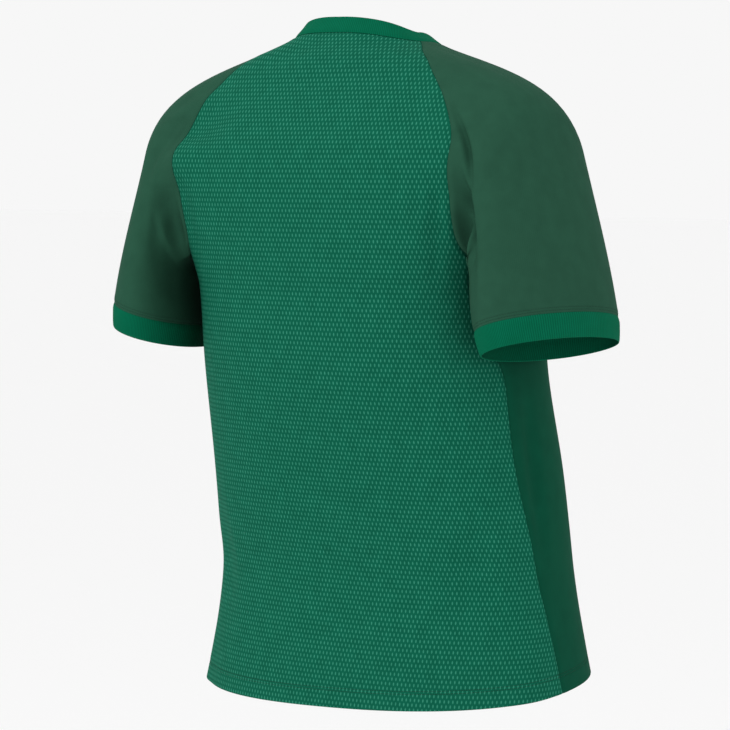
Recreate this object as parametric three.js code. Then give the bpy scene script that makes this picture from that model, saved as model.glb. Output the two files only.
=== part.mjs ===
import * as THREE from 'three';

// Football jersey with short raglan sleeves, filled out as it is when worn, with nobody in it.
// Millimetres. +Z is up, the front faces -Y and the wearer's left is +X. The origin is the
// middle of the neck opening, level with the sides of the collar seam.

// Driving sizes
const WALL = 2.0;
const RIB_WALL = 2.4;
const RIB_PROUD = 0.2;
const SEAM_GAP = 0.3;
const COLLAR_WIDTH = 17;
const CUFF_WIDTH = 25;
const HEM_HEIGHT = -691;
const HEM_MIDDLE_Y = -60;
const HEM_TILT = 0.09;
const HEM_LEAN = 0.03;
const ARMPIT_HEIGHT = -226;
const UNDERARM_DIP = 7;
const NECK_HALF_WIDTH = 84;
const NECK_MIDDLE_Y = 6;
const NECK_BACK_REACH = 56;
const NECK_FRONT_REACH = 92;
const NECK_FRONT_POWER = 2.5;
const COLLAR_BACK_CORNER = 14;
const COLLAR_FRONT_CORNER = -36;

// Grid counts
const PANEL_COLUMNS = 20;
const SIDE_COLUMNS = 6;
const ROWS_BELOW_ARMPIT = 17;
const ROWS_ALONG_RAGLAN = 14;
const NECK_STEPS_ON_SLEEVE = 4;
const SLEEVE_ROWS_TO_ARM = 6;
const SLEEVE_ROWS_TO_CUFF = 5;
const CUFF_ROWS = 2;
const COLLAR_ROWS = 3;

const degrees = Math.PI / 180;
const UP = new THREE.Vector3(0, 0, 1);

// Level rings of the body, bottom to top: half the width, the Y of the widest line, the depths
// behind and before it, and the powers that square the ring off at the back and front.
const BODY_RINGS = [
  { z: -730, half: 232, midY: -58, back: 149, front: 178, backPower: 2.3, frontPower: 2.2 },
  { z: -685, half: 223, midY: -54, back: 137, front: 172, backPower: 2.3, frontPower: 2.2 },
  { z: -612, half: 213, midY: -48, back: 119, front: 161, backPower: 2.3, frontPower: 2.2 },
  { z: -567, half: 208, midY: -45, back: 114, front: 156, backPower: 2.3, frontPower: 2.2 },
  { z: -520, half: 208, midY: -38, back: 115, front: 151, backPower: 2.3, frontPower: 2.2 },
  { z: -453, half: 204, midY: -28, back: 121, front: 146, backPower: 2.3, frontPower: 2.3 },
  { z: -345, half: 198, midY: -10, back: 129, front: 137, backPower: 2.35, frontPower: 2.3 },
  { z: -262, half: 197, midY: -6, back: 131, front: 133, backPower: 2.5, frontPower: 2.4 },
  { z: -240, half: 200, midY: -5, back: 133, front: 131, backPower: 2.6, frontPower: 2.4 },
  { z: -205, half: 212, midY: -3, back: 134, front: 128, backPower: 2.7, frontPower: 2.4 },
  { z: -160, half: 232, midY: 0, back: 134, front: 119, backPower: 2.7, frontPower: 2.4 },
  { z: -115, half: 250, midY: 5, back: 125, front: 107, backPower: 2.6, frontPower: 2.3 },
  { z: -90, half: 253, midY: 8, back: 112, front: 100, backPower: 2.4, frontPower: 2.2 },
  { z: -60, half: 243, midY: 11, back: 94, front: 92, backPower: 2.2, frontPower: 2.1 },
  { z: -42, half: 214, midY: 12, back: 84, front: 86, backPower: 2.1, frontPower: 2.0 },
  { z: -31, half: 188, midY: 11, back: 78, front: 82, backPower: 2.1, frontPower: 2.0 },
  { z: -15, half: 138, midY: 10, back: 68, front: 72, backPower: 2.1, frontPower: 2.0 },
  { z: 0, half: 90, midY: 5, back: 63, front: 55, backPower: 2.1, frontPower: 2.0 },
  { z: 12, half: 70, midY: 2, back: 59, front: 46, backPower: 2.1, frontPower: 2.0 },
];

// Raglan seams from the armpit corner to the collar: how far out from the middle at each height
const BACK_RAGLAN = [
  { z: -226, out: 183 },
  { z: -214, out: 177 },
  { z: -198, out: 174 },
  { z: -155, out: 175 },
  { z: -115, out: 177 },
  { z: -90, out: 170 },
  { z: -60, out: 155 },
  { z: -42, out: 140 },
  { z: -22, out: 120 },
  { z: -8, out: 98 },
];
const FRONT_RAGLAN = [
  { z: -226, out: 184 },
  { z: -214, out: 178 },
  { z: -186, out: 171 },
  { z: -150, out: 163 },
  { z: -110, out: 149 },
  { z: -75, out: 126 },
  { z: -45, out: 100 },
];

// Side seams: ring angle behind and before the widest line at each height
const SIDE_SEAMS = [
  { z: -720, behind: 4, before: 34 },
  { z: -640, behind: 7, before: 35 },
  { z: -560, behind: 13, before: 36 },
  { z: -450, behind: 18.5, before: 37 },
  { z: -345, behind: 17, before: 38 },
  { z: -262, behind: 22, before: 38 },
];

// Sleeve rings on the wearer's left: centre, the half axis to the outer top and the half axis to
// the back. The first is the upper arm, the second the cuff seam and the third the cuff edge.
const ARM_RING = {
  centre: [223, 26, -168],
  outer: [20, 0, 88],
  back: [-9, 89, 0],
};
const CUFF_SEAM_RING = {
  centre: [247, 32, -292],
  outer: [45, 0, 11.5],
  back: [-13.5, 98, 4],
};
const UNDERARM_SHARE = 0.14;
const ARM_DOWN = new THREE.Vector3(0.1, 0, -1).normalize();
const CUFF_DOWN = new THREE.Vector3(0.17, 0, -1).normalize();
const CUFF_TAPER = 0.96;

// How the sleeve leaves the armhole, from the underarm (0) to the collar (1): the share of the
// body's own slope, the direction outwards, backwards and up, and the reach of the curve for its span.
const ARMHOLE_FLOW = [
  { along: 0, share: 0, out: 0.12, back: 0, up: -1, reach: 0.8 },
  { along: 0.1, share: 0, out: 0.45, back: -0.25, up: -0.85, reach: 0.9 },
  { along: 0.22, share: 0.1, out: 0.75, back: -0.25, up: -0.6, reach: 1 },
  { along: 0.4, share: 0.4, out: 0.85, back: 0, up: -0.4, reach: 0.9 },
  { along: 0.6, share: 0.9, out: 0.9, back: 0.1, up: -0.4, reach: 0.8 },
  { along: 1, share: 1, out: 0.9, back: 0, up: -0.4, reach: 0.7 },
];

// The body's largest folds: the ring angle and height of each end, half the width and how far
// the cloth stands out (a trough is negative). They differ on the two sides, as real folds do.
const BODY_FOLDS = [
  { top: -335, topAngle: 176, bottom: -575, bottomAngle: 171, half: 17, out: -5 },
  { top: -355, topAngle: 5, bottom: -600, bottomAngle: 10, half: 16, out: -4 },
  { top: -470, topAngle: 144, bottom: -650, bottomAngle: 129, half: 27, out: -4 },
  { top: -455, topAngle: 34, bottom: -670, bottomAngle: 47, half: 30, out: -3 },
  { top: -115, topAngle: 128, bottom: -270, bottomAngle: 136, half: 15, out: -2.5 },
  { top: -120, topAngle: 52, bottom: -255, bottomAngle: 45, half: 16, out: -2 },
  { top: -185, topAngle: 221, bottom: -360, bottomAngle: 239, half: 20, out: -3 },
  { top: -190, topAngle: 319, bottom: -330, bottomAngle: 304, half: 22, out: -3 },
  { top: -420, topAngle: 291, bottom: -660, bottomAngle: 284, half: 26, out: -3 },
  { top: -450, topAngle: 249, bottom: -650, bottomAngle: 258, half: 24, out: -3.5 },
  { top: -600, topAngle: 27, bottom: -860, bottomAngle: 25, half: 40, out: 5 },
  { top: -590, topAngle: 155, bottom: -860, bottomAngle: 157, half: 36, out: 4 },
];

// The sleeves' largest folds: the turn round the sleeve from the underarm by the back, its drift
// down the fold, where the fold starts and ends between armhole (0) and cuff (1), half its width
// in degrees and how far it stands out on the left sleeve and on the right.
const SLEEVE_FOLDS = [
  { turn: 78, drift: -30, from: 0.02, to: 0.7, half: 17, left: -3, right: -6 },
  { turn: 118, drift: -12, from: 0.02, to: 0.3, half: 8, left: 1.5, right: -1.5 },
  { turn: 36, drift: 5, from: 0.1, to: 0.9, half: 13, left: -3, right: -2 },
  { turn: 284, drift: 22, from: 0.08, to: 0.8, half: 16, left: -4.5, right: -3.5 },
  { turn: 328, drift: -6, from: 0.1, to: 0.85, half: 13, left: -2, right: -3.5 },
];

// A smooth curve through one column of a table
function through(table, key, column) {
  const knots = table.map((row) => row[key]);
  const values = table.map((row) => row[column]);
  const last = knots.length - 1;
  const slopes = knots.map((knot, i) => {
    const low = Math.max(i - 1, 0);
    const high = Math.min(i + 1, last);
    return (values[high] - values[low]) / (knots[high] - knots[low]);
  });
  return (at) => {
    if (at <= knots[0]) return values[0] + slopes[0] * (at - knots[0]);
    if (at >= knots[last]) return values[last] + slopes[last] * (at - knots[last]);
    let i = 0;
    while (at > knots[i + 1]) i += 1;
    const span = knots[i + 1] - knots[i];
    const t = (at - knots[i]) / span;
    const rise = t * t * (3 - 2 * t);
    const leave = t * (1 - t) * (1 - t) * span;
    const arrive = t * t * (t - 1) * span;
    return values[i] * (1 - rise) + values[i + 1] * rise + slopes[i] * leave + slopes[i + 1] * arrive;
  };
}

const ring = {};
for (const column of Object.keys(BODY_RINGS[0])) ring[column] = through(BODY_RINGS, 'z', column);
const sideBehind = through(SIDE_SEAMS, 'z', 'behind');
const sideBefore = through(SIDE_SEAMS, 'z', 'before');
const flow = {};
for (const column of Object.keys(ARMHOLE_FLOW[0])) flow[column] = through(ARMHOLE_FLOW, 'along', column);

const mix = (a, b, t) => a + (b - a) * t;

// A soft bump that is 1 in the middle and 0 at -1 and 1, and its fade along a fold
const bump = (t) => (Math.abs(t) < 1 ? 0.5 + 0.5 * Math.cos(Math.PI * t) : 0);

// The unfolded body at a ring angle (0 is the wearer's left, 90 degrees the back) and height
function smoothPoint(angle, z) {
  const c = Math.cos(angle);
  const s = Math.sin(angle);
  const behind = 0.5 + 0.5 * THREE.MathUtils.clamp(2 * s, -1, 1);
  const power = mix(ring.frontPower(z), ring.backPower(z), behind);
  const depth = s > 0 ? ring.back(z) : ring.front(z);
  const scale = (Math.abs(c) ** power + Math.abs(s) ** power) ** (-1 / power);
  return new THREE.Vector3(ring.half(z) * scale * c, ring.midY(z) + depth * scale * s, z);
}

// How far the folds move the cloth out at a ring angle and height
function bodyFold(angle, z) {
  let out = 0;
  for (const fold of BODY_FOLDS) {
    const t = (z - fold.bottom) / (fold.top - fold.bottom);
    if (t <= 0 || t >= 1) continue;
    const middle = degrees * mix(fold.bottomAngle, fold.topAngle, t);
    const turn = Math.atan2(Math.sin(angle - middle), Math.cos(angle - middle));
    const arc = Math.hypot(ring.half(z) * Math.sin(angle), ring.back(z) * Math.cos(angle));
    out += fold.out * bump((turn * arc) / fold.half) * bump(2 * t - 1);
  }
  return out;
}

// A point of the body with its folds
function bodyPoint(angle, z) {
  const across = smoothPoint(angle + 0.01, z).sub(smoothPoint(angle - 0.01, z));
  const upwards = smoothPoint(angle, z + 1).sub(smoothPoint(angle, z - 1));
  const normal = across.cross(upwards).normalize();
  return smoothPoint(angle, z).addScaledVector(normal, bodyFold(angle, z));
}

function bodyNormal(angle, z) {
  const across = bodyPoint(angle + 0.01, z).sub(bodyPoint(angle - 0.01, z));
  const upwards = bodyPoint(angle, z + 1).sub(bodyPoint(angle, z - 1));
  return across.cross(upwards).normalize();
}

// The ring angle at which the body is this far out from the middle, behind (1) or before (-1)
function angleAtOut(out, z, side) {
  let wide = 0;
  let narrow = side * 90 * degrees;
  for (let i = 0; i < 40; i += 1) {
    const middle = (wide + narrow) / 2;
    if (bodyPoint(middle, z).x > out) wide = middle;
    else narrow = middle;
  }
  return (wide + narrow) / 2;
}

const hemHeight = (angle) => {
  const { x, y } = bodyPoint(angle, HEM_HEIGHT);
  return HEM_HEIGHT - HEM_TILT * (y - HEM_MIDDLE_Y) - HEM_LEAN * x;
};

// The collar seam is an egg shape in plan, a little square in front; its height is where the
// body passes through it.
function neckPoint(turn) {
  const c = Math.cos(turn);
  const s = Math.sin(turn);
  const power = s > 0 ? 2 : NECK_FRONT_POWER;
  const scale = (Math.abs(c) ** power + Math.abs(s) ** power) ** (-1 / power);
  const x = NECK_HALF_WIDTH * scale * c;
  const y = NECK_MIDDLE_Y + (s > 0 ? NECK_BACK_REACH : NECK_FRONT_REACH) * scale * s;
  let low = -150;
  let high = 30;
  let angle = 0;
  for (let i = 0; i < 40; i += 1) {
    const z = (low + high) / 2;
    const depth = y > ring.midY(z) ? ring.back(z) : ring.front(z);
    angle = Math.atan2((y - ring.midY(z)) / depth, x / ring.half(z));
    const reach = smoothPoint(angle, z);
    if (Math.hypot(reach.x, reach.y - ring.midY(z)) > Math.hypot(x, y - ring.midY(z))) low = z;
    else high = z;
  }
  const fullTurn = 360 * degrees;
  const winding = Math.round((turn - angle) / fullTurn) * fullTurn;
  return { angle: angle + winding, z: (low + high) / 2 };
}

// A ring angle of the wearer's left side, or the same place on the right
const onSide = (side, angle) => (side === 'left' ? angle : 180 * degrees - angle);

// The seam points of one side, hem to armpit to collar, as ring angle and height; facing is 1
// for the back seam and -1 for the front one
function seamLine(side, facing) {
  const corner = neckPoint(degrees * (facing > 0 ? COLLAR_BACK_CORNER : COLLAR_FRONT_CORNER));
  const collarEnd = { z: corner.z, out: bodyPoint(corner.angle, corner.z).x };
  const out = through([...(facing > 0 ? BACK_RAGLAN : FRONT_RAGLAN), collarEnd], 'z', 'out');
  const sideAngle = (z) => facing * degrees * (facing > 0 ? sideBehind(z) : sideBefore(z));
  const bottom = hemHeight(onSide(side, sideAngle(HEM_HEIGHT)));
  const armpit = angleAtOut(out(ARMPIT_HEIGHT), ARMPIT_HEIGHT, facing);
  const line = [];
  for (let j = 0; j < ROWS_BELOW_ARMPIT; j += 1) {
    const t = j / ROWS_BELOW_ARMPIT;
    const seamAngle = sideAngle(mix(HEM_HEIGHT, ARMPIT_HEIGHT, t));
    const turn = THREE.MathUtils.smoothstep(t, 0.7, 1);
    line.push({ angle: mix(seamAngle, armpit, turn), z: mix(bottom, ARMPIT_HEIGHT, t) });
  }
  const raglanPoint = (z) => ({ angle: angleAtOut(out(z), z, facing), z });
  const samples = [];
  let length = 0;
  const FINE = 120;
  for (let k = 0; k <= FINE; k += 1) {
    const point = raglanPoint(mix(ARMPIT_HEIGHT, corner.z, k / FINE));
    const place = bodyPoint(point.angle, point.z);
    if (k > 0) length += place.distanceTo(samples[k - 1].place);
    samples.push({ place, z: point.z, length });
  }
  for (let j = 0; j <= ROWS_ALONG_RAGLAN; j += 1) {
    const wanted = (length * j) / ROWS_ALONG_RAGLAN;
    const k = Math.max(1, samples.findIndex((sample) => sample.length >= wanted - 1e-9));
    const before = samples[k - 1];
    const t = (wanted - before.length) / (samples[k].length - before.length);
    line.push(raglanPoint(mix(before.z, samples[k].z, t)));
  }
  return line.map(({ angle, z }) => ({ angle: onSide(side, angle), z }));
}

const backSeam = { left: seamLine('left', 1), right: seamLine('right', 1) };
const frontSeam = { left: seamLine('left', -1), right: seamLine('right', -1) };
const ROWS = ROWS_BELOW_ARMPIT + ROWS_ALONG_RAGLAN;

// A grid of body points between two seam lines; the hem closes it below and topLine above
function bodyGrid(first, second, columns, topLine) {
  const rows = first.length - 1;
  const across = (line, key, u) => mix(first[line][key], second[line][key], u);
  const grid = [];
  for (let j = 0; j <= rows; j += 1) {
    const row = [];
    const up = (first[j].z - first[0].z) / (first[rows].z - first[0].z);
    for (let i = 0; i <= columns; i += 1) {
      const u = i / columns;
      const top = topLine(u);
      const lowShift = hemHeight(across(0, 'angle', u)) - across(0, 'z', u);
      const highShift = top.z - across(rows, 'z', u);
      const z = across(j, 'z', u) + mix(lowShift, highShift, up);
      const angle = across(j, 'angle', u) + up * (top.angle - across(rows, 'angle', u));
      row.push({ place: bodyPoint(angle, z), normal: bodyNormal(angle, z) });
    }
    grid.push(row);
  }
  return grid;
}

// Moves the edge points of a grid inwards by half the seam gap, square to the seam
function trim(grid, closed) {
  const lastRow = grid.length - 1;
  const columns = grid[0].length;
  const lastColumn = columns - 1;
  const limit = THREE.MathUtils.clamp;
  const column = (i) => (closed ? (i + columns) % columns : limit(i, 0, lastColumn));
  const at = (j, i) => grid[limit(j, 0, lastRow)][column(i)];
  const moved = grid.map((row) => row.map(({ place, normal }) => ({ place: place.clone(), normal })));
  const pull = (j, i, ahead, behind, inner) => {
    const { place, normal } = grid[j][i];
    const square = ahead.place.clone().sub(behind.place).cross(normal).setLength(SEAM_GAP / 2);
    if (square.dot(inner.place.clone().sub(place)) < 0) square.negate();
    moved[j][i].place.add(square);
  };
  for (let i = 0; i < columns; i += 1) {
    pull(0, i, at(0, i + 1), at(0, i - 1), at(1, i));
    pull(lastRow, i, at(lastRow, i + 1), at(lastRow, i - 1), at(lastRow - 1, i));
  }
  if (closed) return moved;
  for (let j = 0; j <= lastRow; j += 1) {
    pull(j, 0, at(j + 1, 0), at(j - 1, 0), at(j, 1));
    pull(j, lastColumn, at(j + 1, lastColumn), at(j - 1, lastColumn), at(j, lastColumn - 1));
  }
  return moved;
}

// Normals of a tube's grid, from its own neighbours; they point away from the hollow
function withNormals(places) {
  const rows = places.length;
  const around = places[0].length;
  return places.map((row, j) => row.map((place, i) => {
    const across = row[(i + 1) % around].clone().sub(row[(i + around - 1) % around]);
    const low = places[Math.max(j - 1, 0)][i];
    const high = places[Math.min(j + 1, rows - 1)][i];
    return { place, normal: across.cross(high.clone().sub(low)).normalize() };
  }));
}

// A closed wall: the grid's points outside, the same points moved in by the thickness inside
function wall(grid, thickness, closed, raised = 0) {
  const rows = grid.length;
  const columns = grid[0].length;
  const positions = [];
  for (const depth of [raised, raised - thickness]) {
    for (const row of grid) {
      for (const { place, normal } of row) {
        positions.push(...place.clone().addScaledVector(normal, depth).toArray());
      }
    }
  }
  const inner = rows * columns;
  const at = (j, i) => j * columns + (i % columns);
  const faces = [];
  const quad = (a, b, c, d) => faces.push(a, b, c, a, c, d);
  const steps = closed ? columns : columns - 1;
  for (let j = 0; j < rows - 1; j += 1) {
    for (let i = 0; i < steps; i += 1) {
      const [a, b, c, d] = [at(j, i), at(j, i + 1), at(j + 1, i + 1), at(j + 1, i)];
      quad(a, b, c, d);
      quad(inner + a, inner + d, inner + c, inner + b);
    }
  }
  for (let i = 0; i < steps; i += 1) {
    quad(at(0, i + 1), at(0, i), inner + at(0, i), inner + at(0, i + 1));
    const top = rows - 1;
    quad(at(top, i), at(top, i + 1), inner + at(top, i + 1), inner + at(top, i));
  }
  if (!closed) {
    const right = columns - 1;
    for (let j = 0; j < rows - 1; j += 1) {
      quad(at(j, 0), at(j + 1, 0), inner + at(j + 1, 0), inner + at(j, 0));
      quad(at(j + 1, right), at(j, right), inner + at(j, right), inner + at(j + 1, right));
    }
  }
  const geometry = new THREE.BufferGeometry();
  geometry.setAttribute('position', new THREE.Float32BufferAttribute(positions, 3));
  geometry.setIndex(faces);
  geometry.computeVertexNormals();
  return geometry;
}

// Back and front run from the wearer's left round to the right and on to the left again
const neckBetween = (from, to) => (u) => neckPoint(mix(from, to, u) * degrees);
const neckBack = neckBetween(COLLAR_BACK_CORNER, 180 - COLLAR_BACK_CORNER);
const neckFront = neckBetween(180 - COLLAR_FRONT_CORNER, 360 + COLLAR_FRONT_CORNER);
const backGrid = bodyGrid(backSeam.left, backSeam.right, PANEL_COLUMNS, neckBack);
const wrapped = (line) => line.map(({ angle, z }) => ({ angle: angle + 360 * degrees, z }));
const frontGrid = bodyGrid(frontSeam.right, wrapped(frontSeam.left), PANEL_COLUMNS, neckFront);

// The underarm's edge from the front seam to the back seam
const backCorner = backSeam.left[ROWS_BELOW_ARMPIT].angle;
const frontCorner = frontSeam.left[ROWS_BELOW_ARMPIT].angle;
const underarm = (side, u) => ({
  angle: onSide(side, mix(frontCorner, backCorner, u)),
  z: ARMPIT_HEIGHT - UNDERARM_DIP * 4 * u * (1 - u),
});
const sideLine = (line) => line.slice(0, ROWS_BELOW_ARMPIT + 1);
const leftPanel = bodyGrid(sideLine(frontSeam.left), sideLine(backSeam.left), SIDE_COLUMNS,
  (u) => underarm('left', u));
const rightPanel = bodyGrid(sideLine(backSeam.right), sideLine(frontSeam.right), SIDE_COLUMNS,
  (u) => underarm('right', 1 - u));

// Both sleeves are worked out on the wearer's left. The right one's armhole is mirrored to there,
// and its sleeve and cuff are mirrored back with their columns turned round to face outwards.
const flipped = (vector) => new THREE.Vector3(-vector.x, vector.y, vector.z);
function mirrorGrid(grid) {
  const flipPoint = ({ place, normal }) => ({ place: flipped(place), normal: flipped(normal) });
  return grid.map((row) => row.map(flipPoint).reverse());
}

// How far round the loop each point lies, from 0 to 1, and how far from the underarm's middle (0)
// to the shoulder's (1)
function withShares(loop) {
  const lengths = [0];
  for (let i = 1; i <= loop.length; i += 1) {
    lengths.push(lengths[i - 1] + loop[i % loop.length].place.distanceTo(loop[i - 1].place));
  }
  return loop.map((point, i) => {
    const share = lengths[i] / lengths[loop.length];
    return { ...point, share, along: 1 - Math.abs(1 - 2 * share) };
  });
}

// The armhole from the underarm's middle round by the back, the collar and the front
function armholeLoop(side) {
  const points = [];
  const toLeft = (vector) => (side === 'left' ? vector : flipped(vector));
  const add = ({ angle, z }) => points.push({
    place: toLeft(bodyPoint(angle, z)),
    square: toLeft(bodyNormal(angle, z)),
  });
  const half = SIDE_COLUMNS / 2;
  for (let i = 0; i < half; i += 1) add(underarm(side, 0.5 + i / SIDE_COLUMNS));
  for (let j = ROWS_BELOW_ARMPIT; j <= ROWS; j += 1) add(backSeam[side][j]);
  for (let k = 1; k < NECK_STEPS_ON_SLEEVE; k += 1) {
    const turn = degrees * mix(COLLAR_BACK_CORNER, COLLAR_FRONT_CORNER, k / NECK_STEPS_ON_SLEEVE);
    add(neckPoint(onSide(side, turn)));
  }
  for (let j = ROWS; j >= ROWS_BELOW_ARMPIT; j -= 1) add(frontSeam[side][j]);
  for (let i = 1; i < half; i += 1) add(underarm(side, i / SIDE_COLUMNS));
  return withShares(points);
}
const ellipsePoint = ({ centre, outer, back }, turn) => new THREE.Vector3(...centre)
  .addScaledVector(new THREE.Vector3(...outer), -Math.cos(turn))
  .addScaledVector(new THREE.Vector3(...back), Math.sin(turn));

function hermite(from, leave, to, arrive, t) {
  const rise = t * t * (3 - 2 * t);
  return from.clone().multiplyScalar(1 - rise)
    .addScaledVector(to, rise)
    .addScaledVector(leave, t * (1 - t) * (1 - t))
    .addScaledVector(arrive, t * t * (t - 1));
}

// The sleeve: each column leaves the armhole, passes the upper arm's ring and ends at the cuff
function sleevePlaces(armhole) {
  const columns = armhole.map(({ place, square, share, along }) => {
    const turn = share * 2 * Math.PI;
    const behind = share < 0.5 ? 1 : -1;
    const free = new THREE.Vector3(flow.out(along), behind * flow.back(along), flow.up(along)).normalize();
    const slope = free.clone().projectOnPlane(square).normalize();
    const leave = free.lerp(slope, flow.share(along)).normalize();
    const armPlace = ellipsePoint(ARM_RING, turn);
    const cuffPlace = ellipsePoint(CUFF_SEAM_RING, turn);
    const down = cuffPlace.clone().sub(armPlace);
    const passing = ARM_DOWN.clone().lerp(armPlace.clone().sub(place).normalize(), 0.2).normalize();
    return { start: place, leave, reach: flow.reach(along), armPlace, cuffPlace, down, passing };
  });
  const rows = [];
  for (let j = 0; j <= SLEEVE_ROWS_TO_ARM; j += 1) {
    rows.push(columns.map(({ start, leave, reach, armPlace, passing }) => {
      const span = armPlace.distanceTo(start);
      const out = leave.clone().multiplyScalar(reach * span);
      const arrive = passing.clone().multiplyScalar(0.8 * span);
      return hermite(start, out, armPlace, arrive, j / SLEEVE_ROWS_TO_ARM);
    }));
  }
  for (let j = 1; j <= SLEEVE_ROWS_TO_CUFF; j += 1) {
    rows.push(columns.map(({ armPlace, cuffPlace, down, passing }) => {
      const span = down.length();
      const arrive = CUFF_DOWN.clone().multiplyScalar(span);
      const leave = passing.clone().multiplyScalar(span);
      return hermite(armPlace, leave, cuffPlace, arrive, j / SLEEVE_ROWS_TO_CUFF);
    }));
  }
  return rows;
}

function foldedSleeve(armhole, side) {
  const smooth = withNormals(sleevePlaces(armhole));
  const last = smooth.length - 1;
  return smooth.map((row, j) => row.map(({ place, normal }, i) => {
    let out = 0;
    for (const fold of SLEEVE_FOLDS) {
      const t = (j / last - fold.from) / (fold.to - fold.from);
      const turn = 360 * armhole[i].share - fold.turn - fold.drift * t;
      out += fold[side] * bump(turn / fold.half) * bump(2 * t - 1);
    }
    return place.clone().addScaledVector(normal, out);
  }));
}

// The cuff goes on from the sleeve's last ring, a little narrower at its edge
function cuffPlaces(seam) {
  const centre = new THREE.Vector3(...CUFF_SEAM_RING.centre);
  const rows = [];
  for (let j = 0; j <= CUFF_ROWS; j += 1) {
    const t = j / CUFF_ROWS;
    rows.push(seam.map((place) => place.clone().sub(centre)
      .multiplyScalar(mix(1, CUFF_TAPER, t * t))
      .add(centre)
      .addScaledVector(CUFF_DOWN, CUFF_WIDTH * t)));
  }
  return rows;
}

// Sleeve and cuff share the ring and the normals at their seam, so it stays even. Above the
// underarm the sleeve's edge stands square to the body's cloth, so the seam fits. At the underarm
// both cloths hang down from the seam, so the sleeve is set off from the body there.
function sleeveAndCuff(side) {
  const armhole = armholeLoop(side);
  const rows = foldedSleeve(armhole, side);
  const cuffStart = rows.length - 1;
  const grid = withNormals([...rows, ...cuffPlaces(rows[cuffStart]).slice(1)]);
  grid[0].forEach((point, i) => {
    const { along, square } = armhole[i];
    const fitted = THREE.MathUtils.smoothstep(along, UNDERARM_SHARE, 2 * UNDERARM_SHARE);
    point.normal.lerp(square, fitted).normalize();
    point.place = point.place.clone().addScaledVector(square, SEAM_GAP * (1 - fitted));
  });
  return { sleeve: grid.slice(0, cuffStart + 1), cuff: grid.slice(cuffStart) };
}
const left = sleeveAndCuff('left');
const right = sleeveAndCuff('right');

// The collar: the neck seam all round, and a band that leans in from it
function collarPlaces() {
  const loop = [];
  const corners = [COLLAR_BACK_CORNER, 180 - COLLAR_BACK_CORNER, 180 - COLLAR_FRONT_CORNER,
    360 + COLLAR_FRONT_CORNER, 360 + COLLAR_BACK_CORNER];
  const counts = [PANEL_COLUMNS, NECK_STEPS_ON_SLEEVE, PANEL_COLUMNS, NECK_STEPS_ON_SLEEVE];
  counts.forEach((steps, k) => {
    const between = neckBetween(corners[k], corners[k + 1]);
    for (let i = 0; i < steps; i += 1) loop.push(between(i / steps));
  });
  const count = loop.length;
  const places = loop.map(({ angle, z }) => bodyPoint(angle, z));
  const inwards = loop.map(({ angle, z }, i) => {
    const along = places[(i + 1) % count].clone().sub(places[(i + count - 1) % count]).normalize();
    const slope = bodyNormal(angle, z).cross(along).normalize();
    const lift = mix(0.12, 0.3, Math.abs(Math.sin(angle)));
    return slope.addScaledVector(UP, lift).normalize();
  });
  const rows = [];
  for (let j = 0; j <= COLLAR_ROWS; j += 1) {
    const t = j / COLLAR_ROWS;
    rows.push(places.map((place, i) => place.clone()
      .addScaledVector(inwards[i], COLLAR_WIDTH * t)
      .addScaledVector(UP, 1.5 * t * t)));
  }
  return rows;
}
const collar = withNormals(collarPlaces());

// Colours of the cloths
const cloth = (color, roughness) => new THREE.MeshStandardMaterial({ color, roughness, metalness: 0 });
const mesh = () => cloth('#1a6a51', 0.85);
const plain = () => cloth('#12523c', 0.8);
const sleeveKnit = () => cloth('#295240', 0.85);
const rib = () => cloth('#0c6145', 0.9);

const jersey = new THREE.Group();
function addPiece(name, geometry, material) {
  const piece = new THREE.Mesh(geometry, material);
  piece.name = name;
  jersey.add(piece);
}
addPiece('back', wall(trim(backGrid, false), WALL, false), mesh());
addPiece('front', wall(trim(frontGrid, false), WALL, false), mesh());
addPiece('side_panel_left', wall(trim(leftPanel, false), WALL, false), plain());
addPiece('side_panel_right', wall(trim(rightPanel, false), WALL, false), plain());
addPiece('sleeve_left', wall(trim(left.sleeve, true), WALL, true), sleeveKnit());
addPiece('sleeve_right', wall(trim(mirrorGrid(right.sleeve), true), WALL, true), sleeveKnit());
addPiece('cuff_left', wall(trim(left.cuff, true), RIB_WALL, true, RIB_PROUD), rib());
addPiece('cuff_right', wall(trim(mirrorGrid(right.cuff), true), RIB_WALL, true, RIB_PROUD), rib());
addPiece('collar', wall(trim(collar, true), RIB_WALL, true, RIB_PROUD), rib());

export default jersey;
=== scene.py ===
import math
import bpy
import numpy as np
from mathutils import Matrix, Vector


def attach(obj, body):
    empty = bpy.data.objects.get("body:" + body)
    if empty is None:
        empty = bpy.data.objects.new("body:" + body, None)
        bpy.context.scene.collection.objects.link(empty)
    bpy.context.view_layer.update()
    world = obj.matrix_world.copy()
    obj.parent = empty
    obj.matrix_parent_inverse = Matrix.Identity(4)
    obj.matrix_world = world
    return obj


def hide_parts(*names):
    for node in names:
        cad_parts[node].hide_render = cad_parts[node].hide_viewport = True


# Football jersey with short raglan sleeves, seen from behind. The forms are worked out in
# millimetres, on finer grids than the solids', and made in metres. The tables are the solids'
# own but for changes at the shoulders, collar and cuffs and folds that only the cloth has.
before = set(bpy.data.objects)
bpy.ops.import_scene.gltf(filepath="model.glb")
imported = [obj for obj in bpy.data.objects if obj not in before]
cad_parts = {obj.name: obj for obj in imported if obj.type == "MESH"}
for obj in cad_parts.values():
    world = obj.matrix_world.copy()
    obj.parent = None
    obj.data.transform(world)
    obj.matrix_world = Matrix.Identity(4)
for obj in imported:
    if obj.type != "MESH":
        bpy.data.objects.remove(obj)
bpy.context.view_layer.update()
METRES = 0.001

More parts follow.
